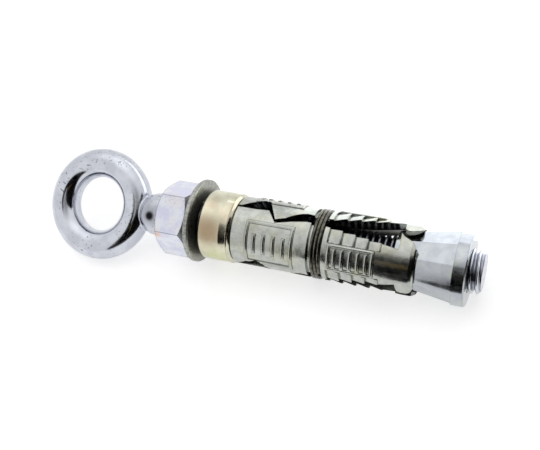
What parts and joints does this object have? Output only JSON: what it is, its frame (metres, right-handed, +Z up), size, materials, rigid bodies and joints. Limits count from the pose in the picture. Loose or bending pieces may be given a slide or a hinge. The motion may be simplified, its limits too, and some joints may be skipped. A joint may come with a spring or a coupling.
{
  "type": "expansion shield anchor with eye bolt",
  "caption": "Masonry anchor: a split expansion shield with a cone nut on a threaded stud, closed by a washer and hex nut, ending in a forged round eye.",
  "frame": {"origin": "middle of the bounding box in plan, on the floor that the bolt lies on", "axes": "+X along the bolt from the eye to the expander nut, falling about 1 degree; +Z up; -Y towards the side on which the eye's ring touches the floor"},
  "size_m": [0.1322, 0.029, 0.024],
  "materials": {
    "zinc_bright": "bright zinc plating, slightly blue",
    "zinc_dull": "dull zinc plating",
    "zinc_yellow": "yellow passivated zinc plating",
    "zinc_cast": "cast shield, zinc plated, slightly matt",
    "spring_wire": "dark drawn spring wire"
  },
  "bodies": {
    "sleeve": {"ferrule": "zinc_yellow", "washer": "zinc_dull", "garter_spring": "spring_wire"},
    "nut": {"hex_nut": "zinc_bright"},
    "expander": {"expander_nut": "zinc_bright"},
    "eye": {"eye_bolt": "zinc_bright"},
    "segment_1": {"segment_1": "zinc_cast"},
    "segment_2": {"segment_2": "zinc_cast"},
    "segment_3": {"segment_3": "zinc_cast"}
  },
  "joints": [
    {"name": "draw_in", "type": "slide", "parent": "sleeve", "child": "expander", "axis": [-0.9998, 0, 0.0174], "range_m": [0, 0.008], "deforming": ["garter_spring"]},
    {"name": "nut_turn", "type": "hinge", "parent": "sleeve", "child": "nut", "pos_m": [-0.02121, 0, 0.01128], "axis": [0.9998, 0, -0.0174], "range_deg": [0, 1646]},
    {"name": "eye_turn", "type": "hinge", "parent": "expander", "child": "eye", "pos_m": [-0.04921, 0, 0.01176], "axis": [0.9998, 0, -0.0174], "range_deg": [-180, 180]},
    {"name": "segment_1_splay", "type": "hinge", "parent": "sleeve", "child": "segment_1", "pos_m": [-0.00318, -0.0065, 0.01588], "axis": [-0.0139, -0.6035, -0.7972], "range_deg": [0, 1.95]},
    {"name": "segment_2_splay", "type": "hinge", "parent": "sleeve", "child": "segment_2", "pos_m": [-0.00321, 0.00751, 0.01413], "axis": [0.0161, -0.3888, 0.9212], "range_deg": [0, 1.95]},
    {"name": "segment_3_splay", "type": "hinge", "parent": "sleeve", "child": "segment_3", "pos_m": [-0.00341, -0.00101, 0.00288], "axis": [-0.0022, 0.9923, -0.124], "range_deg": [0, 1.95]}
  ],
  "couplings": [
    {"joint": "nut_turn", "follows": "draw_in", "rad_per_m": 3590.4},
    {"joint": "segment_1_splay", "follows": "draw_in", "rad_per_m": 4.2019},
    {"joint": "segment_2_splay", "follows": "draw_in", "rad_per_m": 4.2019},
    {"joint": "segment_3_splay", "follows": "draw_in", "rad_per_m": 4.2019}
  ]
}
